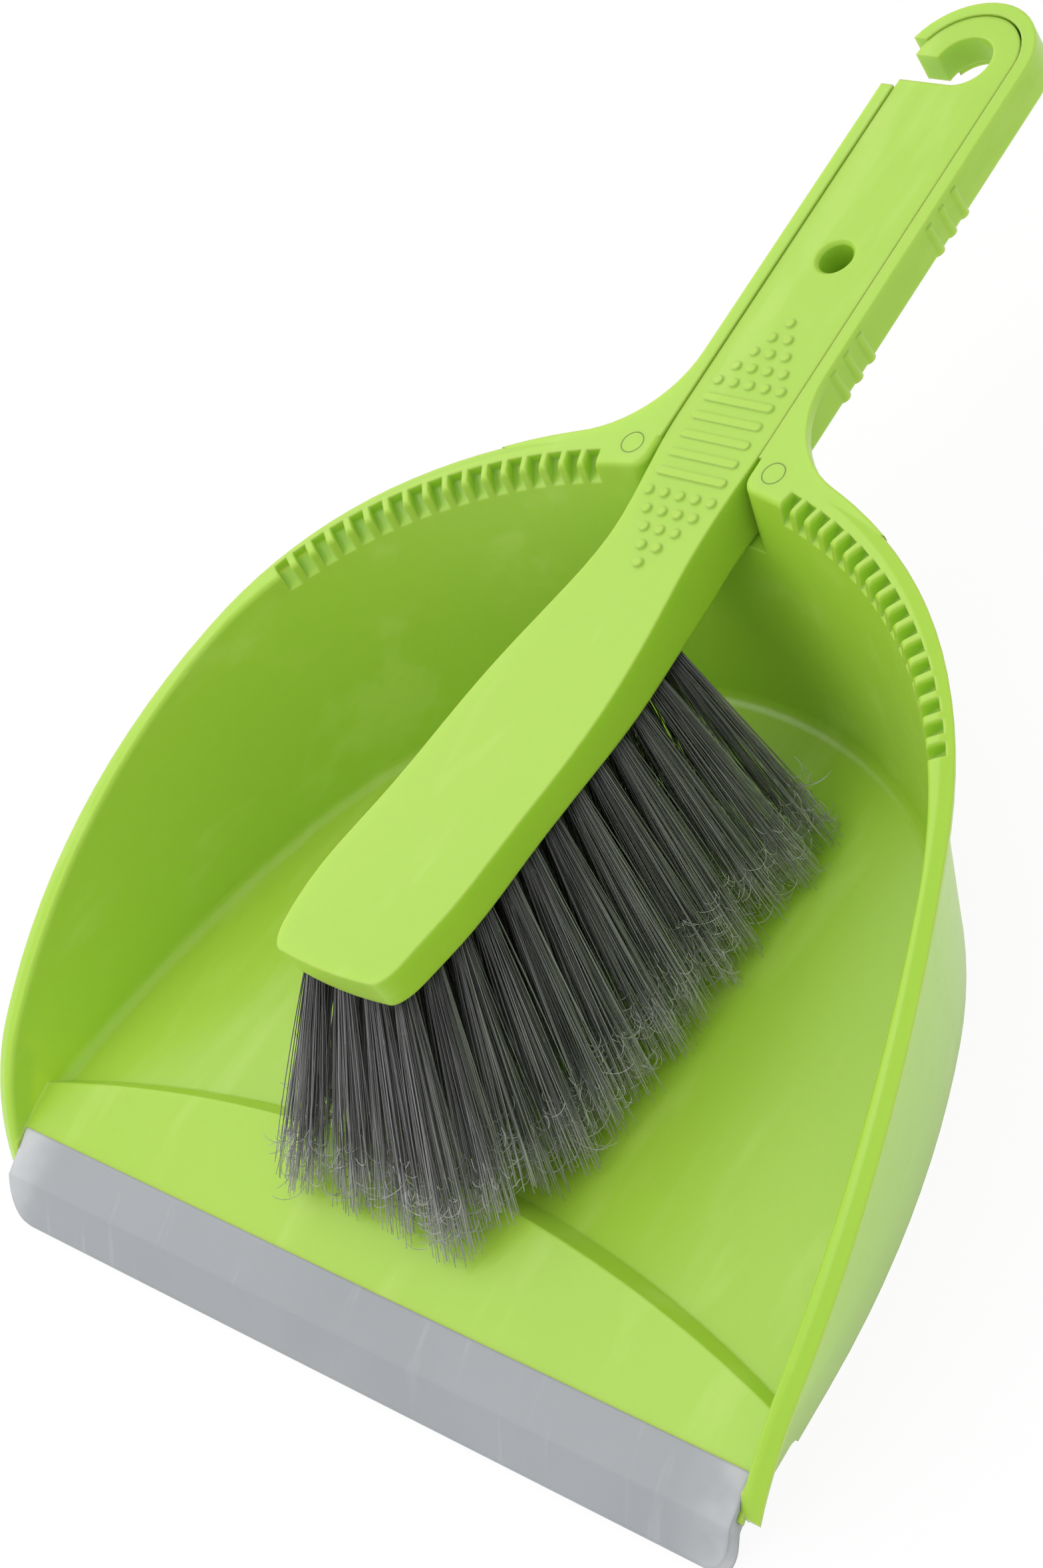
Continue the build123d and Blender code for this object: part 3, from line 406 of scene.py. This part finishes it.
class BristleSizes(bpy.types.PropertyGroup):
    """Sizes and colours of the bristles."""

    strands: bpy.props.IntProperty(
        name="Strands in a tuft", description="Filament ends that leave each hole", default=100, min=8,
        max=120)
    curls: bpy.props.IntProperty(
        name="Split hairs in a tuft", description="Fine curled hairs near the tips", default=52, min=0,
        max=80)
    thickness: bpy.props.FloatProperty(
        name="Filament", description="Diameter of a filament", default=0.00034, unit="LENGTH")
    hole: bpy.props.FloatProperty(
        name="Tuft radius", description="Radius of a tuft at its root", default=0.0021, unit="LENGTH")
    spread_across: bpy.props.FloatProperty(
        name="Spread across", description="Radius of a tuft at its tips, across the broom", default=0.0066,
        unit="LENGTH")
    spread_along: bpy.props.FloatProperty(
        name="Spread along", description="Radius of a tuft at its tips, along the broom", default=0.0044,
        unit="LENGTH")
    ragged: bpy.props.FloatProperty(
        name="Raggedness", description="How much shorter the shortest filament is", default=0.0052,
        unit="LENGTH")
    colour: bpy.props.FloatVectorProperty(
        name="Filament colour", description="Main grey of the filaments", default=(0.62, 0.62, 0.62),
        subtype="COLOR", min=0.0, max=1.0)
    tip_colour: bpy.props.FloatVectorProperty(
        name="Tip colour", description="Grey of the split tips", default=(0.82, 0.82, 0.81), subtype="COLOR",
        min=0.0, max=1.0)
    # Dark grey of the darker strands, also painted as shade among the roots.
    dark_and_root_shade_colour: bpy.props.FloatVectorProperty(
        name="Root colour", description="Grey deep among the roots", default=(0.27, 0.27, 0.27),
        subtype="COLOR", min=0.0, max=1.0)


class PlasticLooks(bpy.types.PropertyGroup):
    """Colours and gloss of the moulded parts."""

    colour: bpy.props.FloatVectorProperty(
        name="Lime", description="Main colour of the plastic", default=(0.66, 0.815, 0.26), subtype="COLOR",
        min=0.0, max=1.0)
    # Pale lime: flow marks, and the painted highlight along sharp edges.
    pale: bpy.props.FloatVectorProperty(
        name="Pale lime", description="Colour of rubbed edges and flow marks", default=(0.80, 0.90, 0.50),
        subtype="COLOR", min=0.0, max=1.0)
    deep: bpy.props.FloatVectorProperty(
        name="Deep lime", description="Colour of the thicker places", default=(0.62, 0.795, 0.22),
        subtype="COLOR", min=0.0, max=1.0)
    roughness: bpy.props.FloatProperty(
        name="Roughness", description="Base roughness of the plastic", default=0.27, min=0.0, max=1.0,
        subtype="FACTOR")
    edge: bpy.props.FloatProperty(
        name="Edge softness", description="Radius that sharp edges are shaded with", default=0.0009,
        unit="LENGTH")
    ring: bpy.props.FloatProperty(
        name="Mould pin mark", description="Radius of the pin marks on the rim", default=0.0027,
        unit="LENGTH")


class LipLooks(bpy.types.PropertyGroup):
    """Colours of the soft lip."""

    colour: bpy.props.FloatVectorProperty(
        name="Rubber", description="Main grey of the lip", default=(0.63, 0.645, 0.66), subtype="COLOR",
        min=0.0, max=1.0)
    # Pale rubber: drag marks, rubbed ends, and the painted highlight along sharp edges.
    pale: bpy.props.FloatVectorProperty(
        name="Rubbed rubber", description="Grey of its rubbed ends", default=(0.88, 0.885, 0.89),
        subtype="COLOR", min=0.0, max=1.0)
    deep: bpy.props.FloatVectorProperty(
        name="Shaded rubber", description="Darker patches", default=(0.585, 0.60, 0.615), subtype="COLOR",
        min=0.0, max=1.0)


class StudioLooks(bpy.types.PropertyGroup):
    """Light, floor and lens."""

    world: bpy.props.FloatProperty(
        name="Sky level", description="Strength of the even light", default=0.84, min=0.0, max=4.0)
    key: bpy.props.FloatProperty(
        name="Main lamp", description="Power of the large soft lamp", default=5.0, min=0.0, max=500.0,
        unit="POWER")
    sheen: bpy.props.FloatProperty(
        name="Sheen lamp", description="Power of the large lamp that the level tops reflect", default=6.0,
        min=0.0, max=500.0, unit="POWER")
    floor_glow: bpy.props.FloatProperty(
        name="Floor whiteness", description="How far the camera sees the floor as pure white", default=0.93,
        min=0.0, max=1.0, subtype="FACTOR")
    lens: bpy.props.FloatProperty(
        name="Lens", description="Focal length for a 36 mm sensor, in millimetres", default=75.796, min=10.0,
        max=300.0)


class BROOMSET_OT_moulded_parts(bpy.types.Operator):
    """Finish the dustpan and the broom's body in lime plastic, and the hidden wire anchors"""

    bl_idname = "broomset.moulded_parts"
    bl_label = "Moulded parts"

    def execute(self, context):
        looks = context.scene.broomset_plastic
        colours = [linear(c) for c in (looks.colour, looks.pale, looks.deep)]
        pan = moulded_plastic("pan_plastic", *colours, looks.roughness, looks.edge, "Y")
        broom = moulded_plastic("broom_plastic", *colours, looks.roughness + 0.04, looks.edge, "Y")
        paint(["dustpan"], pan)
        paint(["brush_body"], broom)
        paint(["anchor_staples"], anchor_metal("anchor_wire", linear((0.72, 0.72, 0.71))))
        return {"FINISHED"}


class BROOMSET_OT_pin_marks(bpy.types.Operator):
    """Add the two round mould pin marks on the dustpan's shoulders"""

    bl_idname = "broomset.pin_marks"
    bl_label = "Mould pin marks"

    def execute(self, context):
        radius = context.scene.broomset_plastic.ring
        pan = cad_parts["dustpan"]
        to_world = pan.matrix_world
        to_pan = to_world.inverted()
        material = pan.data.materials[0]
        down = (to_pan.to_3x3() @ Vector((0.0, 0.0, -1.0))).normalized()
        for name, side in (("pin_mark_left", -1.0), ("pin_mark_right", 1.0)):
            above = to_pan @ Vector((side * PIN_MARK_PLACE[0], PIN_MARK_PLACE[1], CAD_BOX[1][2] + 0.05))
            hit, place, normal, _face = pan.ray_cast(above, down)
            if hit:
                seat = to_world @ place
                self.ring(name, seat, (to_world.to_3x3() @ normal).normalized(), radius, material)
        return {"FINISHED"}

    def ring(self, name, seat, normal, radius, material):
        """A fine raised ring that is sunk into the surface it lies on."""
        side = normal.orthogonal().normalized()
        across = normal.cross(side)
        section = ((-RING_WIDTH, 0.0), (0.0, RING_HEIGHT), (RING_WIDTH, 0.0), (0.0, -RING_SINK))
        points, faces = [], []
        for i in range(RING_STEPS):
            angle = math.tau * i / RING_STEPS
            out = side * math.cos(angle) + across * math.sin(angle)
            points += [seat + out * (radius + away) + normal * rise for away, rise in section]
            for k in range(4):
                a, b = i * 4 + k, i * 4 + (k + 1) % 4
                ahead = ((i + 1) % RING_STEPS - i) * 4
                faces.append((a, b, b + ahead, a + ahead))
        mesh = bpy.data.meshes.new(name)
        mesh.from_pydata(points, [], faces)
        mesh.materials.append(material)
        ring = bpy.data.objects.new(name, mesh)
        bpy.context.scene.collection.objects.link(ring)
        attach(ring, "pan")


class BROOMSET_OT_lip(bpy.types.Operator):
    """Finish the soft lip along the dustpan's front edge"""

    bl_idname = "broomset.lip"
    bl_label = "Soft lip"

    def execute(self, context):
        looks = context.scene.broomset_lip
        half_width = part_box("rubber_lip")[1].x
        colours = [linear(c) for c in (looks.colour, looks.pale, looks.deep)]
        paint(["rubber_lip"], lip_rubber("lip_rubber", *colours, half_width))
        return {"FINISHED"}


class BROOMSET_OT_bristles(bpy.types.Operator):
    """Fill the block's thirteen rows of tufts with fine bristles"""

    bl_idname = "broomset.bristles"
    bl_label = "Bristles"

    def execute(self, context):
        sizes = context.scene.broomset_bristles
        material = bristle_fibre(
            "bristle", linear(sizes.colour), linear(sizes.tip_colour), linear(sizes.dark_and_root_shade_colour))
        for row in range(ROWS):
            piece = self.row(row, sizes, material)
            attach(piece, "broom")
            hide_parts(f"tuft_row_{row + 1:02d}")
        return {"FINISHED"}

    def row(self, row, sizes, material):
        """One row of tufts across the block, with split hairs at its tips."""
        dice = random.Random(FIRST_SEED + row)
        share = row / (ROWS - 1)
        root_y = mix_numbers(ROOT_FIRST, ROOT_LAST, share)
        tip_y = mix_numbers(TIP_FIRST, TIP_LAST, share)
        strands = Strands(STRAND_SIDES)
        radius = sizes.thickness / 2
        for tuft in range(TUFTS_ACROSS):
            across = 2 * tuft / (TUFTS_ACROSS - 1) - 1
            root = Vector((across * ROOT_HALF_WIDTHS[row], root_y, ROOT_HEIGHTS[row] + ROOT_SINK))
            lean = (dice.uniform(-0.0012, 0.0012), dice.uniform(-0.001, 0.001))
            for number in range(sizes.strands):
                out = math.sqrt((number + 0.5) / sizes.strands)
                turn = number * GOLDEN_TURN + tuft + row
                spot = Vector((out * math.cos(turn), out * math.sin(turn), 0.0))
                start = root + spot * sizes.hole
                x = across * TIP_HALF_WIDTHS[row] + lean[0]
                x += (spot.x + dice.gauss(0.0, SCATTER)) * sizes.spread_across
                y = tip_y + lean[1] + (spot.y + dice.gauss(0.0, SCATTER)) * sizes.spread_along
                short = sizes.ragged * dice.random() ** 1.6
                end = Vector((x, y, floor_under(x, y) + TIP_CLEARANCE + short))
                bow, wave = dice.uniform(0.0, 0.0009), dice.uniform(0.0, 0.0006)
                line = strand_line(start, end, bow, wave, dice, STRAND_STEPS)
                strands.add(line, radius, radius * 0.55, dice.random())
                if number < sizes.curls:
                    self.split_hairs(strands, line, radius, dice)
        return strands.piece(f"bristle_row_{row + 1:02d}", material)

    def split_hairs(self, strands, line, radius, dice):
        """Fine hairs that peel off a bristle near its tip and curl."""
        for _ in range(dice.choice((1, 1, 2))):
            at = dice.uniform(0.74, 0.97) * (len(line) - 1)
            low = int(at)
            start = line[low].lerp(line[low + 1], at - low)
            way = (line[-1] - line[-2]).normalized()
            hair = curl_line(start, way, dice.uniform(0.003, 0.011), dice, HAIR_STEPS)
            hair = [Vector((p.x, p.y, max(p.z, floor_under(p.x, p.y) + HAIR_CLEARANCE))) for p in hair]
            strands.add(hair, radius * 0.6, radius * 0.4, dice.uniform(0.6, 1.0), 0.95, 1.0)


class BROOMSET_OT_stage(bpy.types.Operator):
    """Lay the white floor, set the soft lamps and place the camera"""

    bl_idname = "broomset.stage"
    bl_label = "Studio"

    def execute(self, context):
        scene = context.scene
        looks = scene.broomset_studio
        scene.view_settings.view_transform = "Standard"
        self.floor(looks)
        self.light(scene, looks)
        self.camera(scene, looks)
        return {"FINISHED"}

    def floor(self, looks):
        """A wide plain floor that curves up behind the set."""
        rows = [
            (-4.0, 0.0), (-1.0, 0.0), (0.0, 0.0), (2.0, 0.0),
            (3.0, 0.12), (3.7, 0.6), (4.0, 1.4), (4.0, 3.0),
        ]
        points = [(x, y, z - 0.0001) for y, z in rows for x in (-4.0, 4.0)]
        faces = [(2 * i, 2 * i + 1, 2 * i + 3, 2 * i + 2) for i in range(len(rows) - 1)]
        mesh = bpy.data.meshes.new("studio_floor")
        mesh.from_pydata(points, [], faces)
        mesh.polygons.foreach_set("use_smooth", [True] * len(mesh.polygons))
        mesh.materials.append(floor_paper("studio_floor", linear((0.97, 0.97, 0.97)), looks.floor_glow))
        floor = bpy.data.objects.new("studio_floor", mesh)
        bpy.context.scene.collection.objects.link(floor)

    def light(self, scene, looks):
        """An even white surround with a soft lamp from the front left and one that the tops reflect."""
        world = bpy.data.worlds.new("studio")
        world.use_nodes = True
        world.node_tree.nodes["Background"].inputs["Color"].default_value = (1.0, 1.0, 1.0, 1.0)
        world.node_tree.nodes["Background"].inputs["Strength"].default_value = looks.world
        scene.world = world
        for name, place, target, size, power in (
                ("main_lamp", (-0.6, -0.5, 1.4), (0.0, 0.0, 0.02), (1.0, 0.8), looks.key),
                ("sheen_lamp", (-1.0, 0.44, 1.15), (0.0, 0.0, 0.04), (1.2, 1.2), looks.sheen)):
            lamp = bpy.data.lights.new(name, "AREA")
            lamp.shape = "RECTANGLE"
            lamp.size, lamp.size_y = size
            lamp.energy = power
            holder = bpy.data.objects.new(name, lamp)
            aim = Vector(target) - Vector(place)
            holder.location = place
            holder.rotation_euler = aim.to_track_quat("-Z", "Y").to_euler()
            scene.collection.objects.link(holder)

    def camera(self, scene, looks):
        """The photograph's viewpoint: from the front right, looking down on the set."""
        right = Vector((0.72842, 0.51857, -0.44776))
        up = Vector((-0.25039, 0.80982, 0.53055))
        back = Vector((0.63774, -0.27435, 0.71974))
        lens = bpy.data.cameras.new("camera")
        lens.sensor_width = 36.0
        lens.lens = looks.lens
        lens.shift_x = -0.0339
        lens.shift_y = 0.0630
        lens.clip_start = 0.01
        holder = bpy.data.objects.new("camera", lens)
        turn = Matrix((right, up, back)).transposed().to_4x4()
        holder.matrix_world = Matrix.Translation((0.44825, -0.24384, 0.52786)) @ turn
        scene.collection.objects.link(holder)
        scene.camera = holder


class BROOMSET_PT_panel(bpy.types.Panel):
    """Sizes, colours and building steps of the set"""

    bl_label = "Broom set"
    bl_idname = "BROOMSET_PT_panel"
    bl_space_type = "VIEW_3D"
    bl_region_type = "UI"
    bl_category = "Broom set"

    def draw(self, context):
        scene = context.scene
        for title, group in (("Plastic", scene.broomset_plastic), ("Lip", scene.broomset_lip),
                             ("Bristles", scene.broomset_bristles), ("Studio", scene.broomset_studio)):
            box = self.layout.box()
            box.label(text=title)
            for name in group.__annotations__:
                box.prop(group, name)
        for operator in OPERATORS:
            self.layout.operator(operator.bl_idname)


GROUPS = {
    "broomset_plastic": PlasticLooks, "broomset_lip": LipLooks,
    "broomset_bristles": BristleSizes, "broomset_studio": StudioLooks,
}
OPERATORS = (
    BROOMSET_OT_moulded_parts, BROOMSET_OT_pin_marks, BROOMSET_OT_lip, BROOMSET_OT_bristles,
    BROOMSET_OT_stage,
)
CLASSES = (*GROUPS.values(), *OPERATORS, BROOMSET_PT_panel)


def register():
    """Adds the classes and the scene's settings."""
    for cls in CLASSES:
        bpy.utils.register_class(cls)
    for name, group in GROUPS.items():
        setattr(bpy.types.Scene, name, bpy.props.PointerProperty(type=group))


def unregister():
    """Takes the settings and the classes away again."""
    for name in GROUPS:
        delattr(bpy.types.Scene, name)
    for cls in reversed(CLASSES):
        bpy.utils.unregister_class(cls)


def main():
    """Builds the whole set in order."""
    register()
    bpy.ops.broomset.stage()
    bpy.ops.broomset.moulded_parts()
    bpy.ops.broomset.pin_marks()
    bpy.ops.broomset.lip()
    bpy.ops.broomset.bristles()


if __name__ == "__main__":
    main()
